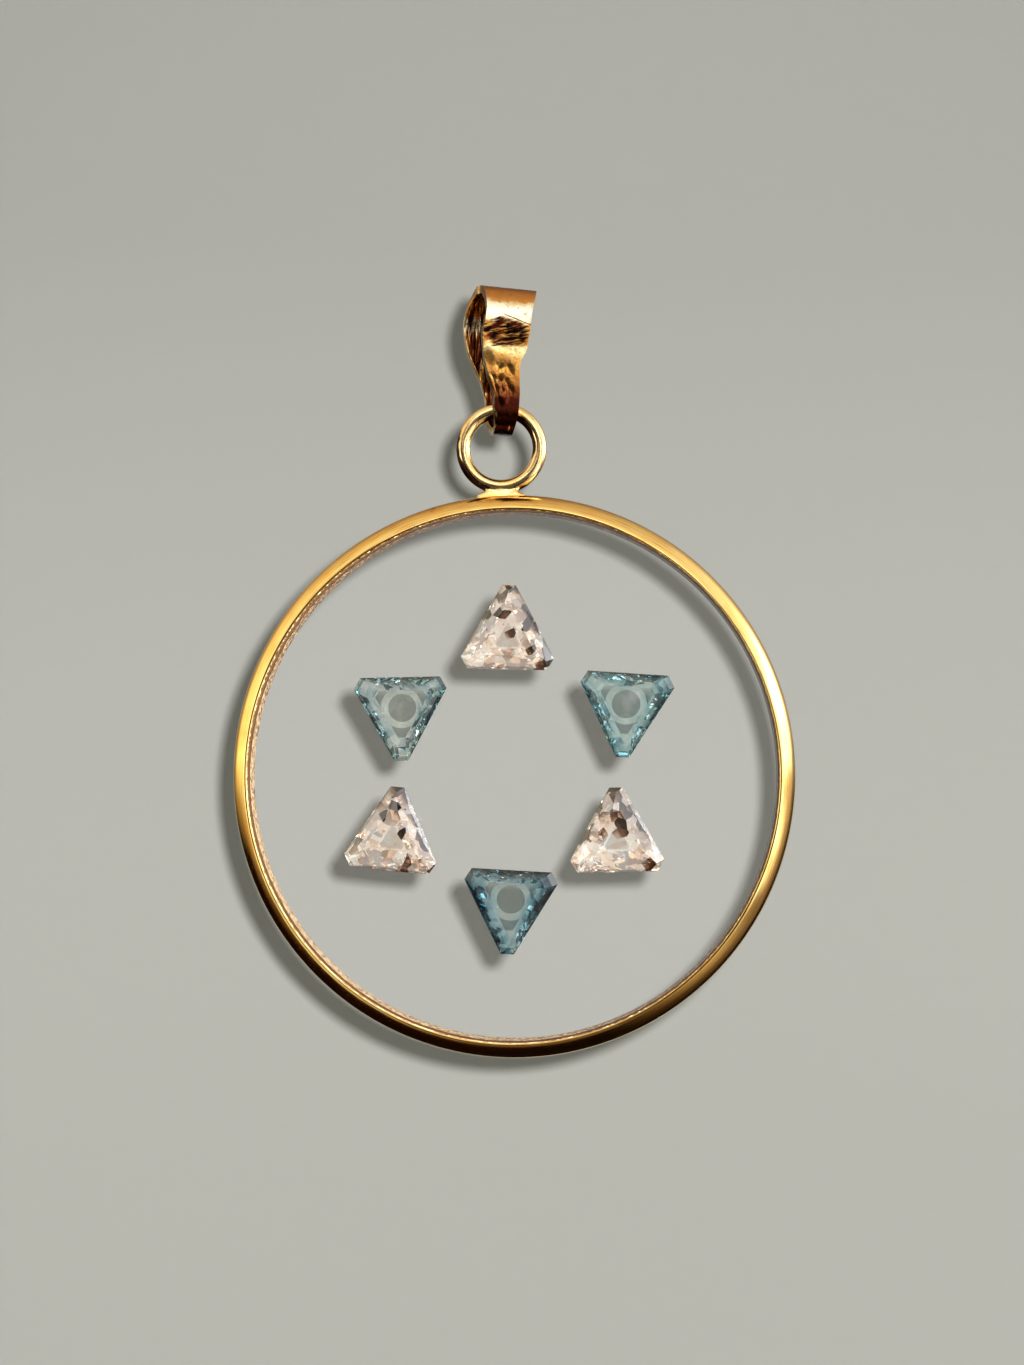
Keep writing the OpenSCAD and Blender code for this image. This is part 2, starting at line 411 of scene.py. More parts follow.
@dataclass(frozen=True)
class CastGold:
    """The same gold as it came from the mould, brushed but never polished.

    Fine pits are dull brown, so it looks like dark speckled bronze beside the
    polished face. Where the wall faces up and right it is painted lighter, and where it
    faces down and left darker, as painted light and shade.
    """

    name: str = "unpolished_cast_gold"
    tones: Stops = ((0.40, "#180C05"), (0.49, "#7C5026"), (0.55, "#7C5026"), (0.63, "#EBC898"))
    metallic: float = 0.4
    roughness: float = 0.45
    pit_mm: float = 0.2
    pit_depth_mm: float = 0.03
    bump: float = 0.5
    # Painted light: the wall that faces this way is lighter, and the opposite wall darker.
    painted_light_side: tuple[float, float, float] = (0.09, 0.0, 0.06)

    def material(self) -> Material:
        """Builds the finish.

        Returns:
            The material.
        """
        material, add = new_material(self.name)
        coordinates = add("TexCoord").outputs
        scale = 1 / (self.pit_mm * MM)
        grain = add(
            "TexNoise", {"Vector": coordinates["Object"], "Scale": scale, "Detail": 3.0, "Roughness": 0.7}
        )
        # Painted light and shade by which way the wall faces, added to the grain.
        rubbed = add("VectorMath", (coordinates["Normal"], self.painted_light_side), operation="DOT_PRODUCT")
        grain_and_painted_light = add("Math", (grain, rubbed), operation="ADD")
        colour = add("ValToRGB", {"Fac": grain_and_painted_light}, stops=ramp(self.tones))
        relief = add("Bump", {"Strength": self.bump, "Distance": self.pit_depth_mm * MM, "Height": grain})
        shader = add(
            "BsdfPrincipled",
            {
                "Base Color": colour, "Metallic": self.metallic, "Roughness": self.roughness,
                "Normal": relief,
            },
        )
        add("OutputMaterial", {"Surface": shader})
        return material


@dataclass(frozen=True)
class WornStrap:
    """Rolled gold strap, polished long ago, with painted shade in its dents and a dark foot.

    High spots shine bright yellow. The hollows are painted dark as shade, and the foot that
    rubs on the eyelet is painted red-brown and near black, as tarnish and as painted shade.
    A stop of the front leaf gives a height and its colour there: bright highlight bands and
    dark shade are painted by height, with the tarnish.
    """

    name: str = "worn_rolled_gold"
    # Painted highlight bands and painted shade by height on the front leaf, with tarnish at the foot.
    wear_and_painted_light: Stops = (
        (-7.6, "#34150D"), (-5.7, "#461B10"), (-5.15, "#8E5228"), (-4.4, "#C88A40"), (-3.6, "#E4AC5C"),
        (-3.15, "#FFE2A0"), (-2.85, "#B87A38"), (-1.9, "#C8904A"), (-1.55, "#FFF2CC"),
        (-0.95, "#FFF4D6"), (-0.7, "#D4964E"), (0.5, "#B8743A"),
    )
    wander: float = 0.9
    edge: str = "#F4CC84"
    # Dark marks: real dirt in the scratches, specks and engraved line, and painted shade in the hollows
    # and on the left front edge.
    dirt_and_shade: Stops = ((0.44, "#43180F"), (0.54, "#120A08"))
    hidden: str = "#4A2012"
    dullness: Fade = Fade(0.3, 0.75, past=0.289, before=0.102)
    stain_dullness: float = 0.14
    blotch_mm: float = 0.5
    grime_mm: float = 0.2
    stroke_mm: float = 0.14
    rolled_mm: float = 0.2
    rolled_draw: tuple[float, float, float] = (1.0, 0.4, 0.09)
    patch: tuple[float, float, float] = (-0.32, 0.0, -2.36)
    patch_size: tuple[float, float] = (1.5, 0.95)
    patch_fade: Fade = Fade(0.55, 1.05, past=0.0, before=1.0)
    patch_share: float = 0.36
    stroke_lean: float = -16.0
    stroke_stretch: float = 5.0
    stroke_fade: Fade = Fade(0.64, 0.86)
    line_height: float = -1.6
    line_slope: float = -0.3
    line_fade: Fade = Fade(0.012, 0.03, past=0.0, before=1.0)
    line_start: Fade = Fade(-0.6, -0.2)
    line_gaps: Fade = Fade(0.38, 0.5, before=0.3)
    front_fade: Fade = Fade(-0.2, -0.6)
    hollow_fade: Fade = Fade(0.496, 0.468, past=0.9)
    ridge_fade: Fade = Fade(0.53, 0.6, past=0.5)
    speckle_fade: Fade = Fade(0.60, 0.72, past=0.8)
    rolled_fade: Fade = Fade(0.48, 0.60)
    side_fade: Fade = Fade(0.35, 0.75, past=0.85)
    bump: float = 0.7
    relief_mm: float = 0.08
    pit_share: float = 0.2
    cut_share: float = 0.4

    def material(self, yaw: float, lean: float) -> Material:
        """Builds the finish.

        Args:
            yaw: The strap's turn about the vertical in degrees.
            lean: Its lean to the side in degrees.

        Returns:
            The material.
        """
        material, add = new_material(self.name)
        world = add("TexCoord").outputs["Object"]
        upright = add(
            "VectorRotate", {"Vector": world, "Angle": -math.radians(lean)}, rotation_type="Y_AXIS"
        )
        place = add(
            "VectorRotate", {"Vector": upright, "Angle": -math.radians(yaw)}, rotation_type="Z_AXIS"
        )
        place_mm = add("VectorMath", {0: place, "Scale": 1 / MM}, operation="SCALE")
        across, depth, height = add("SeparateXYZ", (place_mm,)).outputs
        blotches = add("TexNoise", {"Vector": place, "Scale": 1 / (self.blotch_mm * MM), "Detail": 4.0})
        grime_and_shade = add(
            "TexNoise",
            {"Vector": place, "Scale": 1 / (self.grime_mm * MM), "Detail": 5.0, "Roughness": 0.65},
        )
        front = add("MapRange", self.front_fade.over(depth), interpolation_type="SMOOTHSTEP")
        # The rolling marks run along the strap and show on its hidden side.
        drawn = add("VectorMath", (place, self.rolled_draw), operation="MULTIPLY")
        rolled = add("TexNoise", {"Vector": drawn, "Scale": 1 / (self.rolled_mm * MM), "Detail": 2.0})
        scratched = self.scratches(add, place, front)
        engraved = self.engraved_line(add, place_mm, across, front, grime_and_shade)
        pointed = add("NewGeometry").outputs["Pointiness"]
        # Hollows are darkened as painted shade.
        painted_hollow_shade = add("MapRange", self.hollow_fade.over(pointed))
        rubbed = add("MapRange", self.ridge_fade.over(pointed))
        speckles = add("MapRange", self.speckle_fade.over(grime_and_shade))
        # The left cut edge of the front leaf is painted dark as shade, by which way it faces.
        left = Matrix.Rotation(math.radians(yaw), 3, "Z") @ Vector((-1, 0, 0))
        normal = add("NewGeometry").outputs["Normal"]
        facing = add("VectorMath", (normal, left), operation="DOT_PRODUCT")
        turned = add("MapRange", self.side_fade.over(facing))
        painted_edge_shade = add("Math", (turned, front), operation="MULTIPLY")
        marked = add("Math", (scratched, engraved), operation="MAXIMUM")
        # Real marks and painted shade, the hollows and the left front edge, share one mask.
        stain_and_shade = marked
        for mask in (painted_hollow_shade, painted_edge_shade, speckles):
            stain_and_shade = add("Math", (stain_and_shade, mask), operation="MAXIMUM")
        # The front leaf's colours, painted highlight bands and painted shade by height with
        # tarnish, wander with the blotches.
        low, high = self.wear_and_painted_light[0][0], self.wear_and_painted_light[-1][0]
        wandered = add("Math", (blotches, self.wander, height), operation="MULTIPLY_ADD")
        level = add("MapRange", Fade(low + self.wander / 2, high + self.wander / 2).over(wandered))
        stops = [((at - low) / (high - low), linear(code)) for at, code in self.wear_and_painted_light]
        leaf_wear_and_light = add("ValToRGB", {"Fac": level}, stops=stops)
        shown = add("MapRange", self.rolled_fade.over(rolled))
        inside = add("Mix", {0: shown, 6: linear(self.hidden), 7: leaf_wear_and_light}, data_type="RGBA")
        leaf = add("Mix", {0: front, 6: inside, 7: leaf_wear_and_light}, data_type="RGBA")
        rub = add("Mix", {0: rubbed, 6: leaf, 7: linear(self.edge)}, data_type="RGBA")
        dirt_and_shade = add("ValToRGB", {"Fac": blotches}, stops=ramp(self.dirt_and_shade))
        colour = add("Mix", {0: stain_and_shade, 6: rub, 7: dirt_and_shade}, data_type="RGBA")
        dull = add("MapRange", self.dullness.over(grime_and_shade))
        rough = add("Math", (stain_and_shade, self.stain_dullness, dull), operation="MULTIPLY_ADD")
        back = add("Math", (1.0, front), operation="SUBTRACT")
        ridges = add("Math", (rolled, back), operation="MULTIPLY")
        pitted = add("Math", (grime_and_shade, self.pit_share, ridges), operation="MULTIPLY_ADD")
        furrows = add("Math", (marked, -self.cut_share, pitted), operation="MULTIPLY_ADD")
        relief = add("Bump", {"Strength": self.bump, "Distance": self.relief_mm * MM, "Height": furrows})
        shader = add(
            "BsdfPrincipled", {"Base Color": colour, "Metallic": 1.0, "Roughness": rough, "Normal": relief}
        )
        add("OutputMaterial", {"Surface": shader})
        return material

    def scratches(self, add: AddNode, place: Source, front: Source) -> Node:
        """Marks the scratched patch of the front leaf, whose strokes run down to the right.

        Args:
            add: Adds a node to the material.
            place: The place in the strap's own frame.
            front: One on the front leaf and none behind.

        Returns:
            The patch's mask.
        """
        turn = (0, math.radians(self.stroke_lean), 0)
        slanted = add(
            "Mapping", {"Vector": place, "Rotation": turn, "Scale": (self.stroke_stretch, 1, 1)},
            vector_type="TEXTURE",
        )
        strokes = add("TexNoise", {"Vector": slanted, "Scale": 1 / (self.stroke_mm * MM), "Detail": 2.0})
        wide, tall = self.patch_size
        offset = add("VectorMath", (place, mm(*self.patch)), operation="SUBTRACT")
        sizes = (1 / (wide * MM), 0, 1 / (tall * MM))
        shares = add("VectorMath", (offset, sizes), operation="MULTIPLY")
        reach = add("VectorMath", (shares,), operation="LENGTH")
        near = add("MapRange", self.patch_fade.over(reach), interpolation_type="SMOOTHSTEP")
        ragged = add("Math", (near, self.patch_share, strokes), operation="MULTIPLY_ADD")
        dark = add("MapRange", self.stroke_fade.over(ragged))
        return add("Math", (dark, front), operation="MULTIPLY")

    def engraved_line(
        self, add: AddNode, place_mm: Source, across: Source, front: Source, grime_and_shade: Source
    ) -> Node:
        """Marks the one engraved line that crosses the right of the front leaf.

        Args:
            add: Adds a node to the material.
            place_mm: The place in the strap's own frame, in millimetres.
            across: Its part across the strap.
            front: One on the front leaf and none behind.
            grime_and_shade: Fine noise, which breaks the line.

        Returns:
            The line's mask.
        """
        slope = (-self.line_slope, 0, 1)
        level = add("VectorMath", (place_mm, slope), operation="DOT_PRODUCT")
        above = add("Math", (level, self.line_height), operation="SUBTRACT")
        away = add("Math", (above,), operation="ABSOLUTE")
        near = add("MapRange", self.line_fade.over(away))
        right = add("MapRange", self.line_start.over(across))
        broken = add("MapRange", self.line_gaps.over(grime_and_shade))
        mask = front
        for part in (near, right, broken):
            mask = add("Math", (mask, part), operation="MULTIPLY")
        return mask


@dataclass(frozen=True)
class CutGlass:
    """A clear cut or polished solid: a glass pane, cubic zirconia or pale topaz.

    Flat polished faces bend and throw back the light about them, so neighbouring facets
    look bright, clear or dark by turns, and random cells of the base colour paint more
    bright and dark facets as reflections. The body's own colour grows with the length of
    the light's path; the base colour also paints a paler middle, darker rims and a lighter
    lower left side as light and shade, together with the stone's colour. A colour stop
    gives a distance from the middle in millimetres and the colour there.
    """

    name: str
    ior: float
    tints_and_painted_light: Stops = ((0.0, "#FFFFFF"),)
    ramp_mm: float = 4.0
    growth: float = 1.0
    painted_flash_share: float = 0.0
    facet_mm: float = 0.0
    facet_tilt: float = 0.0
    below_girdle: tuple[float, float] = (-1.53, -1.03)
    lit_side: tuple[float, float, float] = (0.0, 0.0, 0.0)
    points_up: bool = False
    body: str = "#FFFFFF"
    depth_per_mm: float = 0.0
    clarity: float = 1.0
    roughness: float = 0.0

    def material(self, centre: Vector) -> Material:
        """Builds the finish.

        Args:
            centre: The stone's middle in metres, from which the tints grow outwards.

        Returns:
            The material.
        """
        material, add = new_material(self.name)
        place = add("TexCoord").outputs["Object"]
        inputs: dict[str | int, Any] = {
            "Base Color": linear(self.tints_and_painted_light[0][1]), "Roughness": self.roughness, "IOR": self.ior,
            "Transmission Weight": self.clarity,
        }
        if self.facet_mm:
            cells = add(
                "TexVoronoi", {"Vector": place, "Scale": 1 / (self.facet_mm * MM)}
            ).outputs["Color"]
            inputs["Base Color"] = self.tint(add, place, cells, centre)
            inputs["Normal"] = self.facets(add, place, cells)
        shader = add("BsdfPrincipled", inputs)
        outputs = {"Surface": shader}
        if self.depth_per_mm:
            outputs["Volume"] = add(
                "VolumeAbsorption", {"Color": linear(self.body), "Density": self.depth_per_mm / MM}
            )
        add("OutputMaterial", outputs)
        return material

    def tint(self, add: AddNode, place: Source, cells: Source, centre: Vector) -> Node:
        """Paints the stone's colour from middle to rim, with painted light and shade in it.

        Args:
            add: Adds a node to the material.
            place: The place in the piece.
            cells: Random colours of the back facets.
            centre: The stone's middle in metres.

        Returns:
            The colour.
        """
        offset = add("VectorMath", (place, centre), operation="SUBTRACT")
        flat = add("VectorMath", (offset, (1 / MM, 0, 1 / MM)), operation="MULTIPLY")
        towards = []
        for turn in (0, 120, 240):
            bearing = math.radians(turn + 180 * self.points_up)
            side = (math.sin(bearing), 0, math.cos(bearing))
            towards.append(add("VectorMath", (flat, side), operation="DOT_PRODUCT"))
        reach = towards[0]
        for other in towards[1:]:
            reach = add("Math", (reach, other), operation="MAXIMUM")
        # Painted light: the side that lit_side points to is darker, and the opposite side lighter.
        aside = add("VectorMath", (flat, self.lit_side), operation="DOT_PRODUCT")
        shaded = add("Math", (reach, self.growth, aside), operation="MULTIPLY_ADD")
        # Painted reflections: random cells move along the ramp, as bright and dark facets.
        chance = add("SeparateXYZ", (cells,)).outputs["Z"]
        with_painted_flashes = add("Math", (chance, self.painted_flash_share, shaded), operation="MULTIPLY_ADD")
        scaled = add("Math", (with_painted_flashes, self.ramp_mm), operation="DIVIDE")
        stops = [(distance / self.ramp_mm, linear(code)) for distance, code in self.tints_and_painted_light]
        return add("ValToRGB", {"Fac": scaled}, stops=stops)

    def facets(self, add: AddNode, place: Source, cells: Source) -> Node:
        """Tilts small flat cells below the girdle, as the many little back facets are.

        Args:
            add: Adds a node to the material.
            place: The place in the piece.
            cells: Random colours of the back facets.

        Returns:
            The normal.
        """
        lean = add("VectorMath", (cells, (0.5, 0.5, 0.5)), operation="SUBTRACT")
        depth = add("SeparateXYZ", (place,)).outputs["Y"]
        top, low = self.below_girdle
        past_girdle = add("Math", (depth, top * MM), operation="GREATER_THAN")
        past_culet = add("Math", (depth, low * MM), operation="GREATER_THAN")
        between = add("Math", (past_girdle, past_culet), operation="SUBTRACT")
        strength = add("Math", (between, self.facet_tilt), operation="MULTIPLY")
        tilted = add("VectorMath", {0: lean, "Scale": strength}, operation="SCALE")
        flat = add("NewGeometry").outputs["Normal"]
        total = add("VectorMath", (flat, tilted), operation="ADD")
        return add("VectorMath", (total,), operation="NORMALIZE")


@dataclass
class Band:
    """The half-round band with its hidden groove for the pane."""

    thickness: float = 0.94
    depth: float = 2.4
    lip_flat: float = 0.12
    lip_round: float = 0.09
    lip_steps: int = 5
    groove: float = 0.2
    groove_front: float = -1.0
    groove_back: float = 0.0
    section_points: int = 96
    steps: int = 288

    def build(self, centre: Vector, radius: float) -> Object:
        """Cuts the section from a round disc and spins it round the pendant's axis.

        Args:
            centre: The ring's centre in metres.
            radius: The ring's outer radius in metres.

        Returns:
            The band as a closed mesh.
        """
        sag = self.thickness - self.lip_flat
        face_radius = ((self.depth / 2) ** 2 + sag**2) / (2 * sag)
        lip = radius - self.thickness * MM
        hold()
        bpy.ops.mesh.primitive_circle_add(
            vertices=self.section_points, radius=face_radius * MM, fill_type="NGON",
            location=centre + Vector((radius - face_radius * MM, 0, 0)),
        )
        band = named("band")
        with editing(band):
            cut(centre + Vector((lip, 0, 0)), (1, 0, 0), clear=True)
            for way in (1, -1):
                cut(centre - mm(0, way * self.depth / 2, 0), (0, way, 0), clear=True)
            for wall in (self.groove_front, self.groove_back):
                cut(centre + mm(0, wall, 0), (0, 1, 0))
            cut(centre + Vector((lip + self.groove * MM, 0, 0)), (1, 0, 0))
            floor = centre.x + lip + self.groove * MM
            pick(
                band,
                "faces",
                lambda face: self.groove_front * MM < face.calc_center_median().y < self.groove_back * MM
                and face.calc_center_median().x < floor,
            )
            bpy.ops.mesh.delete(type="FACE")
            bpy.ops.mesh.select_all(action="SELECT")
            bpy.ops.mesh.dissolve_faces()
            near = self.lip_round / 4 * MM
            pick(
                band,
                "verts",
                lambda vert: vert.co.x < centre.x + lip + near
                and abs(vert.co.y) > self.depth / 2 * MM - near,
            )
            bpy.ops.mesh.bevel(offset=self.lip_round * MM, segments=self.lip_steps, affect="VERTICES")
            bpy.ops.mesh.select_mode(type="FACE")
            bpy.ops.mesh.select_all(action="SELECT")
            bpy.ops.mesh.delete(type="ONLY_FACE")
            bpy.ops.mesh.select_mode(type="EDGE")
            spin_round(centre, self.steps)
        return band


@dataclass
class Eyelet:
    """The round wire eyelet and the saddle of solder that holds its ends on the band."""

    wire: float = 0.774
    outer: float = 4.86
    saddle_width: float = 1.7
    saddle_depth: float = 1.1
    saddle_rise: float = 0.24
    saddle_height: float = 0.72
    saddle_cuts: int = 15
    foot: float = 0.03
    crown: float = 0.62
    peak_rise: float = 0.192
    peak_width: float = 0.17
    peak_reach: float = 0.425
    flare: float = 1.5
    steps: int = 120
    wire_points: int = 32
    voxel: float = 0.042
    soften: int = 30

    def middle(self, hang: Vector) -> Vector:
        """Gives the eyelet's centre, which is below the point that its top turns about."""
        return hang - mm(0, 0, (self.outer - self.wire) / 2)

    def bend_wire(self, middle: Vector) -> Object:
        """Bends the wire to a round eyelet.

        Args:
            middle: The eyelet's centre in metres.

        Returns:
            The wire as a closed mesh.
        """
        hold()
        bpy.ops.mesh.primitive_circle_add(
            vertices=self.wire_points, radius=self.wire / 2 * MM, rotation=(0, math.pi / 2, 0),
            location=middle - mm(0, 0, (self.outer - self.wire) / 2),
        )
        wire = named("eyelet_wire")
        with editing(wire):
            spin_round(middle, self.steps)
        return wire

    def shape_saddle(self, middle: Vector, crest: float) -> Object:
        """Shapes the solder, which flares down into the band and is drawn up in the middle.

        Args:
            middle: The eyelet's centre in metres.
            crest: The height of the band's outside in metres.

        Returns:
            The solder as a closed mesh.
        """
        top = crest + self.saddle_rise * MM
        hold()
        bpy.ops.mesh.primitive_cube_add(
            size=1, location=(middle.x, 0, top - self.saddle_height / 2 * MM),
            scale=mm(self.saddle_width, self.saddle_depth, self.saddle_height),
        )
        saddle = named("solder_saddle")
        with editing(saddle):
            pick(saddle, "faces", lambda face: face.normal.z > 0.5)
            bpy.ops.transform.resize(value=(1, self.crown, 1))
            bpy.ops.mesh.select_all(action="SELECT")
            bpy.ops.mesh.subdivide(number_cuts=self.saddle_cuts)
            pick(saddle, "verts", lambda vert: vert.co.z < crest + self.foot * MM)
            bpy.ops.transform.resize(
                value=(self.flare, 1, 1), center_override=(middle.x, 0, crest), use_proportional_edit=True,
                proportional_edit_falloff="SHARP", proportional_size=self.saddle_rise * MM,
            )
            pick(
                saddle,
                "verts",
                lambda vert: vert.co.z > top - self.foot * MM
                and abs(vert.co.x - middle.x) < self.peak_width / 2 * MM,
            )
            bpy.ops.transform.translate(
                value=mm(0, 0, self.peak_rise), use_proportional_edit=True,
                proportional_edit_falloff="SMOOTH", proportional_size=self.peak_reach * MM,
            )
        return saddle

    def build(self, hang: Vector, centre: Vector, radius: float) -> Object:
        """Bends the wire round and solders it to the band's outside.

        Args:
            hang: The point that the wire's top turns about, in metres.
            centre: The band's centre in metres.
            radius: The band's outer radius in metres.

        Returns:
            The eyelet and solder as one closed mesh.
        """
        middle = self.middle(hang)
        soldered = join((self.bend_wire(middle), self.shape_saddle(middle, centre.z + radius)))
        finish_with(soldered, "REMESH", mode="VOXEL", voxel_size=self.voxel * MM)
        finish_with(soldered, "SMOOTH", factor=0.5, iterations=self.soften)
        return soldered


@dataclass
class FrameRing:
    """The gold frame: band, eyelet and solder pad, soldered into one."""

    band: Band = field(default_factory=Band)
    eyelet: Eyelet = field(default_factory=Eyelet)
    polished: PolishedGold = field(default_factory=PolishedGold)
    unpolished: CastGold = field(default_factory=CastGold)
    # The eyelet wire's gold, with painted shade on its side that faces down and left.
    wire: PolishedGold = PolishedGold(
        name="worn_gold_wire", wear_and_painted_light=((0.38, "#FADDA4"), (0.68, "#F0C884")),
        tarnish_fade=Fade(0.30, 0.46, past=0.0, before=0.7), painted_shade_side=(-0.62, 0.1, -0.78),
    )
    join_height: float = 0.04
    sharp_angle: float = 35.0

    def build(self, centre: Vector, radius: float, hang: Vector) -> Object:
        """Makes the frame and puts it in the place of its node.

        Args:
            centre: The ring's centre in metres.
            radius: The ring's outer radius in metres.
            hang: The point that the eyelet's top turns about, in metres.

        Returns:
            The finished piece.
        """
        frame_ring = self.band.build(centre, radius)
        eyelet = self.eyelet.build(hang, centre, radius)
        finish_with(frame_ring, "BOOLEAN", operation="UNION", object=eyelet, solver="MANIFOLD")
        bpy.data.objects.remove(eyelet)
        frame_ring.name = frame_ring.data.name = "gold_frame"
        shade(frame_ring, self.sharp_angle)
        dress(frame_ring, self.polished.material(centre))
        frame_ring.data.materials.append(self.unpolished.material())
        frame_ring.data.materials.append(self.wire.material(self.eyelet.middle(hang)))
        # The inner wall takes the second finish, and all that stands outside the band the third.
        inner = radius - (self.band.thickness - self.band.lip_flat / 2) * MM
        for face in frame_ring.data.polygons:
            spoke = (face.center - centre).xz.length
            if spoke > radius + self.join_height * MM:
                face.material_index = 2
            elif spoke < inner and abs(face.normal.y) < 0.5:
                face.material_index = 1
        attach(frame_ring, Body.DROP.value)
        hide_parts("frame_ring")
        return frame_ring


@dataclass(frozen=True)
class Dent:
    """A shallow dent in the flat blank, or a bump where its depth is negative.

    Its place is a length along the blank from the back seam and a share of half the width.
    """

    along: float
    across: float
    depth: float
    reach: float


@dataclass
class Bail:
    """The bail: a flat blank of gold strap, folded round until its ends meet behind.

    An outline row gives a height in millimetres, then the left and right edges there.
    """

    strap: float = 0.4
    fold_radius: float = 1.8
    bend_radius: float = 1.137
    fold_height: float = -1.6
    bend_height: float = -6.063
    yaw: float = 15.0
    lean: float = 2.5
    rows: int = 180
    columns: int = 32
    rounding: float = 0.22
    press: float = 0.07
    edge_round: float = 0.07
    edge_steps: int = 3
    edge_angle: float = 50.0
    sharp_angle: float = 40.0
    front: tuple[tuple[float, float, float], ...] = (
        (0.40, -1.52, 1.60), (-0.38, -1.41, 1.28), (-1.28, -1.36, 1.02), (-2.51, -1.55, 0.96),
        (-3.35, -1.44, 0.85), (-3.61, -1.41, 0.58), (-4.32, -1.18, 0.58),
    )
    back: tuple[tuple[float, float, float], ...] = (
        (0.40, -1.52, 1.60), (-0.38, -1.86, 1.54), (-1.28, -1.98, 1.44), (-2.51, -1.79, 1.28),
        (-3.35, -1.47, 1.06), (-4.32, -0.96, 0.80),
    )
    tongue: tuple[tuple[float, float, float], ...] = (
        (-5.42, -0.68, 0.68), (-6.32, -0.68, 0.68), (-7.10, -0.42, 0.58)
    )
    dents: tuple[Dent, ...] = (
        Dent(9.05, -0.25, 0.06, 0.75), Dent(9.35, 0.45, 0.05, 0.6), Dent(10.0, -0.35, -0.06, 0.7),
        Dent(10.05, 0.35, -0.05, 0.6), Dent(10.72, -0.15, 0.07, 0.38), Dent(10.8, 0.35, 0.07, 0.36),
        Dent(11.0, 0.1, -0.05, 0.4), Dent(11.3, -0.75, 0.06, 0.32), Dent(11.38, -0.32, 0.06, 0.3),
        Dent(11.3, 0.08, 0.06, 0.3), Dent(11.75, 0.25, 0.07, 0.36), Dent(11.8, -0.8, 0.07, 0.34),
        Dent(11.9, -0.3, 0.05, 0.3), Dent(12.3, -0.2, -0.06, 0.4), Dent(1.2, 0.4, 0.06, 0.8),
        Dent(17.2, -0.3, 0.06, 0.7),
    )
    finish: WornStrap = field(default_factory=WornStrap)

    def leaf_tilt(self) -> float:
        """Gives the angle in radians by which each leaf leans out towards the fold."""
        return math.asin((self.fold_radius - self.bend_radius) / (self.fold_height - self.bend_height))

    def lengths(self) -> tuple[float, float, float]:
        """Measures the strap's parts.

        Returns:
            The lengths of one straight leaf, the fold and the bend, in millimetres.
        """
        tilt = self.leaf_tilt()
        return (
            (self.fold_height - self.bend_height) * math.cos(tilt),
            (math.pi + 2 * tilt) * self.fold_radius, (math.pi - 2 * tilt) * self.bend_radius,
        )

    def turned(self, along: float) -> float:
        """Gives how far the strap has turned at a length from its back seam.

        Args:
            along: The length along the middle of the strap, in millimetres.

        Returns:
            The turn in radians.
        """
        leaf, fold, bend = self.lengths()
        at_fold = min(max(along - leaf / 2, 0), fold)
        at_bend = min(max(along - leaf * 1.5 - fold, 0), bend)
        return at_fold / self.fold_radius + at_bend / self.bend_radius

    def edges(self, height: float, front: bool) -> tuple[float, float]:
        """Reads the outline at a height.

        Args:
            height: The height in millimetres.
            front: Whether the front leaf is meant, or else the back one.

        Returns:
            The left and right edges in millimetres.
        """
        rows = (self.front if front else self.back) + self.tongue
        heights = [row[0] for row in rows]
        left = right = 0.0
        nudges = (-1, -0.5, 0, 0.5, 1)
        for nudge in nudges:
            place = min(max(height + nudge * self.rounding, heights[-1]), heights[0])
            index = max(i for i, top in enumerate(heights[:-1]) if top >= place)
            share = (heights[index] - place) / (heights[index] - heights[index + 1])
            above, below = rows[index], rows[index + 1]
            left += (above[1] + (below[1] - above[1]) * share) / len(nudges)
            right += (above[2] + (below[2] - above[2]) * share) / len(nudges)
        return left, right

    def cut_blank(self) -> Object:
        """Cuts the flat blank, two millimetres wide, which stands on its seam.

        Returns:
            The blank as a grid in the XZ plane.
        """
        hold()
        bpy.ops.mesh.primitive_grid_add(
            x_subdivisions=self.columns, y_subdivisions=self.rows, size=2 * MM, location=(0, 0, MM),
            rotation=(math.pi / 2, 0, 0),
        )
        blank = named("gold_bail")
        leaf, fold, bend = self.lengths()
        with editing(blank):
            bpy.ops.mesh.select_all(action="SELECT")
            bpy.ops.transform.resize(value=(1, 1, leaf + (fold + bend) / 2), center_override=(0, 0, 0))
            for dent in self.dents:
                spot = mm(dent.across, 0, dent.along)
                pick(blank, "verts", lambda vert, at=spot: (vert.co - at).xz.length < self.press * MM)
                bpy.ops.transform.translate(
                    value=mm(0, -dent.depth, 0), use_proportional_edit=True,
                    proportional_edit_falloff="SMOOTH", proportional_size=dent.reach * MM,
                )
        return blank

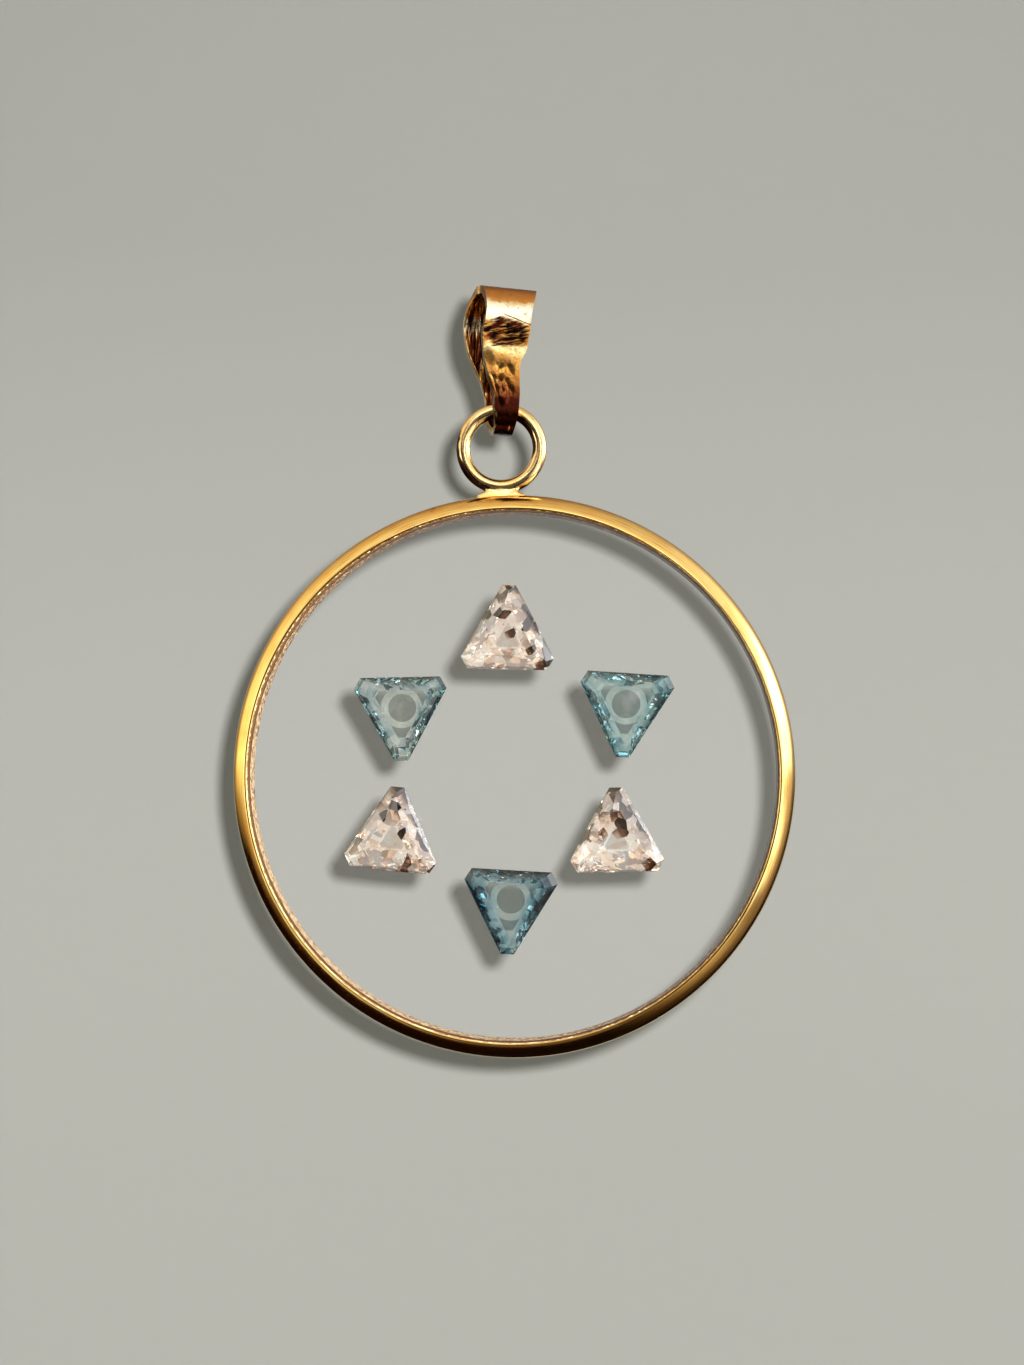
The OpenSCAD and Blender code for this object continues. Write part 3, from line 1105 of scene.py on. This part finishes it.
    def fold_blank(self, blank: Object) -> None:
        """Folds the blank row by row, then gives each row its width.

        Args:
            blank: The flat blank.
        """
        tilt = self.leaf_tilt()
        leaf, fold, bend = self.lengths()
        step = (2 * leaf + fold + bend) / self.rows
        middle = (self.fold_radius + self.bend_radius) / 2
        height = (self.fold_height + self.bend_height) / 2 - middle * math.sin(tilt)
        seam = mm(0, middle * math.cos(tilt), height)
        with editing(blank):
            rows = {
                vert.index: round(vert.co.z / (step * MM))
                for vert in bmesh.from_edit_mesh(blank.data).verts
            }
            bpy.ops.mesh.select_all(action="SELECT")
            bpy.ops.transform.translate(value=seam)
            bpy.ops.transform.rotate(
                value=tilt, orient_axis="X", orient_type="GLOBAL", center_override=seam
            )
            for row in range(self.rows):
                turn = self.turned((row + 0.5) * step) - self.turned((row - 0.5) * step)
                if turn:
                    pick(blank, "verts", lambda vert, row=row: rows[vert.index] > row)
                    bpy.ops.transform.rotate(
                        value=-turn, orient_axis="X", orient_type="GLOBAL",
                        center_override=self.row_place(blank, rows, row),
                    )
            for row in range(self.rows + 1):
                place = self.row_place(blank, rows, row) / MM
                left, right = self.edges(place.z, place.y < 0)
                pick(blank, "verts", lambda vert, row=row: rows[vert.index] == row)
                bpy.ops.transform.resize(value=((right - left) / 2, 1, 1), center_override=(0, 0, 0))
                bpy.ops.transform.translate(value=mm((right + left) / 2, 0, 0))
            close_up(step / 4 * MM)

    def row_place(self, blank: Object, rows: dict[int, int], row: int) -> Vector:
        """Gives the middle of one row of the blank in edit mode.

        Args:
            blank: The blank.
            rows: The row of each corner.
            row: The row that is meant.

        Returns:
            The middle of its corners.
        """
        shape = bmesh.from_edit_mesh(blank.data)
        places = [vert.co for vert in shape.verts if rows[vert.index] == row]
        return sum(places, Vector()) / len(places)

    def build(self) -> Object:
        """Makes the bail and puts it in the place of its node.

        Returns:
            The finished piece.
        """
        bail = self.cut_blank()
        self.fold_blank(bail)
        finish_with(bail, "SOLIDIFY", thickness=self.strap * MM, offset=0, use_even_offset=True)
        finish_with(
            bail, "BEVEL", width=self.edge_round * MM, segments=self.edge_steps, limit_method="ANGLE",
            angle_limit=math.radians(self.edge_angle),
        )
        lean = Matrix.Rotation(math.radians(self.lean), 4, "Y")
        bail.matrix_world = lean @ Matrix.Rotation(math.radians(self.yaw), 4, "Z")
        settle(bail)
        shade(bail, self.sharp_angle)
        dress(bail, self.finish.material(self.yaw, self.lean))
        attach(bail, Body.HANGER.value)
        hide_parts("bail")
        return bail


@dataclass
class Stones:
    """The six stones and the pane that carries them."""

    pane: CutGlass = CutGlass("polished_glass_pane", 1.5, clarity=0.998)
    clear: CutGlass = CutGlass(
        "cubic_zirconia", 2.15, points_up=True, lit_side=(0.15, 0.0, 0.15), growth=0.4,
        painted_flash_share=1.85, facet_mm=0.5, facet_tilt=0.9, body="#F8DCC6", depth_per_mm=0.05,
        clarity=0.963,
        tints_and_painted_light=(
            (0.35, "#FFFBF2"), (1.0, "#FFF2E4"), (1.6, "#FCE4D2"), (1.92, "#E2C2A8"), (2.02, "#6E4432"),
            (2.25, "#1C100A"),
        ),
    )
    blue: CutGlass = CutGlass(
        "pale_topaz", 1.62, lit_side=(0.08, 0.0, 0.16), painted_flash_share=0.6, facet_mm=0.55,
        facet_tilt=0.45, body="#C8E2E6", depth_per_mm=0.04, clarity=0.985,
        tints_and_painted_light=(
            (0.3, "#F8FFF8"), (0.75, "#DEE4DC"), (1.15, "#D8DEDC"), (1.5, "#ACC6C8"), (1.95, "#4C7880")
        ),
    )
    # The right and bottom stones' colour stops: stone colour with painted light and shade.
    right_tints_and_painted_light: Stops = (
        (0.3, "#F6FFFF"), (0.75, "#D2E2DC"), (1.15, "#C8DCDA"), (1.5, "#A0C6CA"), (1.95, "#427884")
    )
    bottom_tints_and_painted_light: Stops = ((0.7, "#C6D0CA"), (1.05, "#BCCED0"), (1.45, "#84ACB8"), (1.85, "#1E4858"))

    def build(self, nodes: dict[str, Object]) -> list[Object]:
        """Dresses the pane and the stones.

        Args:
            nodes: The CAD nodes by name.

        Returns:
            The dressed pieces.
        """
        dress(nodes["pane"], self.pane.material(Vector()))
        nodes["pane"].visible_shadow = False
        finishes = {
            "clear_stone_top": self.clear, "clear_stone_left": self.clear, "clear_stone_right": self.clear,
            "blue_stone_left": self.blue,
            "blue_stone_right": replace(self.blue, name="aqua_topaz", tints_and_painted_light=self.right_tints_and_painted_light),
            "blue_stone_bottom": replace(self.blue, name="deep_topaz", tints_and_painted_light=self.bottom_tints_and_painted_light),
        }
        for name, finish in finishes.items():
            slot = Slot.CLEAR if finish is self.clear else Slot.BLUE
            low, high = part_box(name)
            share = 1 / 3 if slot is Slot.CLEAR else 2 / 3
            middle = (Vector(low) + Vector(high)) / 2
            middle.z = low.z + (high.z - low.z) * share
            dress(nodes[name], finish.material(middle))
        return [nodes["pane"], *(nodes[name] for name in finishes)]


@dataclass(frozen=True)
class SoftBox:
    """One rectangular studio light.

    Places are in millimetres from the ring's centre, and the light faces the ring.
    """

    name: str
    place: tuple[float, float, float]
    size: tuple[float, float]
    watts: float
    colour: str = "#FFFFFF"
    lights_room: bool = True
    is_mirrored: bool = True

    def build(self, aim: Vector) -> None:
        """Puts up the light.

        Args:
            aim: The point it faces, in metres.
        """
        light = bpy.data.lights.new(self.name, "AREA")
        light.shape = "RECTANGLE"
        light.size, light.size_y = (side * MM for side in self.size)
        light.energy = self.watts
        light.color = linear(self.colour)[:3]
        lamp = bpy.data.objects.new(self.name, light)
        lamp.location = aim + mm(*self.place)
        lamp.rotation_euler = (aim - lamp.location).to_track_quat("-Z", "Y").to_euler()
        lamp.visible_camera = False
        lamp.visible_diffuse = self.lights_room
        lamp.visible_glossy = lamp.visible_transmission = self.is_mirrored
        bpy.context.collection.objects.link(lamp)


@dataclass(frozen=True)
class Row:
    """One painted row of a light tent, at a depth behind the ring's centre.

    A stop gives a bearing, clockwise from the top, then a brightness and a colour.
    """

    depth: float
    stops: tuple[tuple[float, float, str], ...]


@dataclass(frozen=True)
class Tent:
    """A round tent of lit and black card about the ring's axis, seen only in reflections.

    Its rows blend into each other, as light does on curved card.
    """

    name: str
    reach: float
    rows: tuple[Row, ...]
    peak: float = 8.0
    sides: int = 96

    def build(self, aim: Vector) -> None:
        """Rolls the card and paints it with light.

        Args:
            aim: The ring's centre in metres.
        """
        front, back = self.rows[0].depth, self.rows[-1].depth
        hold()
        bpy.ops.mesh.primitive_cylinder_add(
            vertices=self.sides, radius=self.reach * MM, depth=(back - front) * MM,
            end_fill_type="NOTHING", location=aim + mm(0, (front + back) / 2, 0),
            rotation=(math.pi / 2, 0, 0),
        )
        tent = named(self.name)
        tent.data.materials.append(self.material(aim))
        tent.active_material.cycles.emission_sampling = "NONE"
        tent.visible_camera = tent.visible_shadow = tent.visible_diffuse = False

    def material(self, aim: Vector) -> Material:
        """Paints the light: a ramp of bearings for each row, and a blend between rows.

        Args:
            aim: The ring's centre in metres.

        Returns:
            The material.
        """
        material, add = new_material(self.name)
        place = add("TexCoord").outputs["Object"]
        offset = add("VectorMath", (place, aim), operation="SUBTRACT")
        across, depth, height = add("SeparateXYZ", (offset,)).outputs
        bearing = add("Math", (across, height), operation="ARCTAN2")
        turns = add("Math", (bearing, math.tau), operation="DIVIDE")
        share = add("Math", (turns,), operation="FRACT")
        painted = []
        for row in self.rows:
            stops = [
                (turn / 360, (*(part * power / self.peak for part in linear(code)[:3]), 1.0))
                for turn, power, code in row.stops
            ]
            painted.append(add("ValToRGB", {"Fac": share}, stops=stops))
        light = painted[0]
        for before, row, paint in zip(self.rows, self.rows[1:], painted[1:]):
            fade = Fade(before.depth * MM, row.depth * MM)
            blend = add("MapRange", fade.over(depth), interpolation_type="SMOOTHSTEP")
            light = add("Mix", {0: blend, 6: light, 7: paint}, data_type="RGBA")
        # Light that has only passed straight through glass sees the room, not the card.
        path = add("LightPath").outputs
        turned_back = add("Math", (path["Ray Depth"], path["Transmission Depth"]), operation="SUBTRACT")
        mirrored = add("Math", (turned_back, 0.5), operation="GREATER_THAN")
        shown = add("Emission", {"Color": light, "Strength": self.peak})
        shader = add("MixShader", (mirrored, add("BsdfTransparent"), shown))
        add("OutputMaterial", {"Surface": shader})
        return material


@dataclass(frozen=True)
class GoldTent(Tent):
    """The wide tent, which gives the gold its bright and dark bands."""

    name: str = "gold_tent"
    reach: float = 130
    rows: tuple[Row, ...] = (
        Row(-135, (
            (0, 1.4, "#FFF8F0"), (45, 1.3, "#FFFFFF"), (85, 1.7, "#FFFFFF"), (98, 3.6, "#FFFFFF"),
            (110, 3.6, "#FFFFFF"), (122, 1.0, "#FFF4E0"), (140, 0.7, "#FFECD0"), (152, 0.25, "#FFDCB8"),
            (195, 0.22, "#FFD8B0"), (212, 0.5, "#FFE4C4"), (226, 2.2, "#FFFAE6"), (275, 2.4, "#FFFCEA"),
            (290, 1.2, "#FFF6E0"), (312, 0.5, "#FFF0DC"), (340, 0.9, "#FFF4E4"), (360, 1.4, "#FFF8F0"),
        )),
        Row(-102, (
            (0, 1.6, "#FFF6E4"), (45, 1.4, "#FFFFFF"), (85, 1.8, "#FFFFFF"), (98, 3.6, "#FFFFFF"),
            (110, 3.6, "#FFFFFF"), (122, 0.9, "#FFF4E0"), (140, 0.7, "#FFECD0"), (152, 0.25, "#FFDCB8"),
            (190, 0.3, "#FFD8B0"), (208, 0.8, "#FFE8C8"), (222, 2.6, "#FFFEF0"), (280, 2.8, "#FFFFF4"),
            (294, 1.2, "#FFF8E4"), (312, 0.55, "#FFF0DC"), (335, 1.1, "#FFF2DC"), (360, 1.6, "#FFF6E4"),
        )),
        Row(-62, (
            (0, 0.85, "#FFEBCC"), (30, 1.05, "#FFF8E8"), (62, 1.7, "#FFFFFF"), (72, 6.0, "#FFFFFF"),
            (84, 5.0, "#FFFFFF"), (92, 1.1, "#FFF8EC"), (104, 2.4, "#FFFFFF"), (110, 2.0, "#FFFFFF"),
            (118, 0.3, "#FFE8D0"), (134, 0.55, "#FFE8C8"), (148, 0.15, "#FFD4A8"), (160, 0.01, "#FFA070"),
            (228, 0.02, "#FF9060"), (246, 0.2, "#FFC890"), (262, 0.7, "#FFE0B0"), (272, 1.7, "#FFFFE0"),
            (296, 1.4, "#FFFAE0"), (345, 1.0, "#FFF0D4"), (360, 0.85, "#FFEBCC"),
        )),
        Row(18, (
            (0, 0.62, "#FFDCAE"), (28, 0.8, "#FFF4DC"), (52, 1.7, "#FFFFFF"), (66, 6.5, "#FFFFFF"),
            (80, 5.0, "#FFFFFF"), (90, 0.8, "#FFEED8"), (104, 0.45, "#FFE4C8"), (125, 0.2, "#FFDCC0"),
            (145, 0.05, "#FFD0A0"), (160, 0.005, "#FFD0A0"), (255, 0.01, "#FF9060"), (266, 0.5, "#FFE0A0"),
            (273, 1.6, "#FFFBC8"), (294, 1.3, "#FFF2C4"), (318, 0.85, "#FFE6BC"), (360, 0.62, "#FFDCAE"),
        )),
        Row(80, (
            (0, 0.3, "#FFD49C"), (40, 0.7, "#FFF0DC"), (78, 0.8, "#FFF8F0"), (95, 0.12, "#FFE0C0"),
            (120, 0.01, "#FFD0A0"), (258, 0.01, "#FF9060"), (272, 0.4, "#FFE4A8"), (310, 0.6, "#FFE0B0"),
            (360, 0.3, "#FFD49C"),
        )),
        Row(170, (
            (0, 0.12, "#FFC890"), (60, 0.25, "#FFE0C0"), (100, 0.0, "#FFD0A0"), (262, 0.0, "#FFD0A0"),
            (300, 0.2, "#FFD49C"), (360, 0.12, "#FFC890"),
        )),
    )


@dataclass(frozen=True)
class FacetTent(Tent):
    """The narrow tent, which gives the stones their flashes."""

    name: str = "facet_tent"
    reach: float = 50
    rows: tuple[Row, ...] = (
        Row(-124, (
            (0, 2.0, "#FFFFFF"), (14, 2.4, "#FFFFFF"), (20, 3.0, "#FFFFFF"), (62, 3.0, "#FFFFFF"),
            (70, 1.1, "#FFF4E8"), (104, 1.0, "#FFF4E8"), (112, 0.03, "#FFE0C8"), (164, 0.02, "#FFE0C8"),
            (170, 0.5, "#FFF0E4"), (180, 0.5, "#FFF0E4"), (186, 0.01, "#FFE0C8"), (318, 0.01, "#FFE0C8"),
            (328, 1.4, "#FFF4E8"), (360, 2.0, "#FFFFFF"),
        )),
        Row(-60, (
            (0, 1.2, "#FFF8F0"), (30, 2.2, "#FFFFFF"), (80, 1.6, "#FFFFFF"), (108, 0.6, "#FFF0E0"),
            (120, 0.02, "#FFE8D0"), (310, 0.02, "#FFE8D0"), (330, 0.8, "#FFF0E0"), (360, 1.2, "#FFF8F0"),
        )),
    )


@dataclass
class Studio:
    """A rounded pale room, soft lights and the camera."""

    room_radius: float = 300.0
    floor_drop: float = 190.0
    ceiling_rise: float = 230.0
    corner: float = 110.0
    paper: str = "#BFBFB9"
    camera_distance: float = 91.2
    camera_azimuth: float = 3.5
    lens: float = 45.1
    photo_size: tuple[int, int] = (1024, 1365)
    ring_row: float = 776.5
    boxes: tuple[SoftBox, ...] = (
        SoftBox("front_fill", (60, -220, -60), (190, 170), 0.06, "#FFFAF0", is_mirrored=False),
        SoftBox("top_strip", (10, -190, 150), (200, 110), 0.2, "#FFFDF4", lights_room=False),
    )
    tents: tuple[Tent, ...] = (GoldTent(), FacetTent())
    room_sides: int = 96
    corner_steps: int = 16
    sharp_angle: float = 60.0
    lens_light_place: tuple[float, float, float] = (1.1, 0.0, 0.95)
    lens_light_size: float = 0.45
    lens_light_watts: float = 4.1
    lens_light_spread: float = 150.0
    lens_light_tilt: float = 82.0

    def build(self, aim: Vector) -> None:
        """Builds the room, the lights and the camera.

        Args:
            aim: The ring's centre in metres.
        """
        self.build_room(aim)
        for light in (*self.boxes, *self.tents):
            light.build(aim)
        self.build_shadow_light(aim)
        self.build_camera(aim)
        bpy.context.scene.view_settings.view_transform = "Standard"
        world = bpy.data.worlds.new("dark_outside")
        world.use_nodes = True
        world.node_tree.nodes["Background"].inputs[0].default_value = (0, 0, 0, 1)
        bpy.context.scene.world = world

    def build_room(self, aim: Vector) -> None:
        """Builds the round room of paper, with rounded corners and its faces turned inwards.

        Args:
            aim: The ring's centre in metres.
        """
        hold()
        bpy.ops.mesh.primitive_cylinder_add(
            vertices=self.room_sides, radius=self.room_radius * MM,
            depth=(self.floor_drop + self.ceiling_rise) * MM,
            location=aim + mm(0, 0, (self.ceiling_rise - self.floor_drop) / 2),
        )
        room = named("pale_paper_room")
        finish_with(
            room, "BEVEL", width=self.corner * MM, segments=self.corner_steps, limit_method="ANGLE",
            angle_limit=math.radians(self.sharp_angle),
        )
        with editing(room):
            bpy.ops.mesh.select_all(action="SELECT")
            bpy.ops.mesh.flip_normals()
        shade(room, self.sharp_angle)
        material, add = new_material("matte_backdrop_paper")
        shader = add(
            "BsdfPrincipled",
            {"Base Color": linear(self.paper), "Roughness": 0.9, "Specular IOR Level": 0.1},
        )
        add("OutputMaterial", {"Surface": shader})
        room.data.materials.append(material)

    def camera_place(self, aim: Vector) -> Vector:
        """Gives the camera's place for the photograph's view.

        Args:
            aim: The ring's centre in metres.

        Returns:
            The camera's place in metres.
        """
        turn = math.radians(self.camera_azimuth)
        away = Vector((math.sin(turn), -math.cos(turn), 0))
        return aim + away * self.camera_distance * MM

    def build_shadow_light(self, aim: Vector) -> None:
        """Puts a small light by the lens, which throws the soft shadows at lower left.

        Args:
            aim: The ring's centre in metres.
        """
        light = bpy.data.lights.new("lens_light", "SPOT")
        light.energy = self.lens_light_watts
        light.spot_size = math.radians(self.lens_light_spread)
        light.spot_blend = 1.0
        light.shadow_soft_size = self.lens_light_size * MM
        lamp = bpy.data.objects.new("lens_light", light)
        lamp.location = self.camera_place(aim) + mm(*self.lens_light_place)
        lamp.rotation_euler = (math.radians(self.lens_light_tilt), 0, 0)
        lamp.visible_camera = lamp.visible_glossy = lamp.visible_transmission = False
        bpy.context.collection.objects.link(lamp)

    def build_camera(self, aim: Vector) -> None:
        """Sets the camera up at the photograph's angle.

        Args:
            aim: The ring's centre in metres.
        """
        height = self.photo_size[1]
        camera = bpy.data.cameras.new("photo_camera")
        camera.lens = self.lens
        camera.shift_y = (self.ring_row - height / 2) / height
        camera.clip_start, camera.clip_end = 0.001, 10
        viewer = bpy.data.objects.new("photo_camera", camera)
        viewer.location = self.camera_place(aim)
        viewer.rotation_euler = (aim - viewer.location).to_track_quat("-Z", "Y").to_euler()
        bpy.context.collection.objects.link(viewer)
        bpy.context.scene.camera = viewer


def main() -> None:
    """Builds the pendant's pieces in order and reports each."""
    logging.basicConfig(level=logging.INFO, format="%(name)s: %(message)s")
    nodes = frame["nodes"]
    low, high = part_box("pane")
    centre = Vector((low + high) / 2)
    centre.y = 0
    ring_low, ring_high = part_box("frame_ring")
    radius = (ring_high.x - ring_low.x) / 2
    swing = frame["joints"][0]
    hang = Vector(swing["pos_m"])
    LOG.info("joint %s", swing)
    LOG.info("centre %s radius %.5f hang %s", centre, radius, hang)
    Studio().build(centre)
    for piece in (FrameRing().build(centre, radius, hang), Bail().build(), *Stones().build(nodes)):
        LOG.info("%s: %d faces", piece.name, len(piece.data.polygons))


if __name__ == "__main__":
    main()
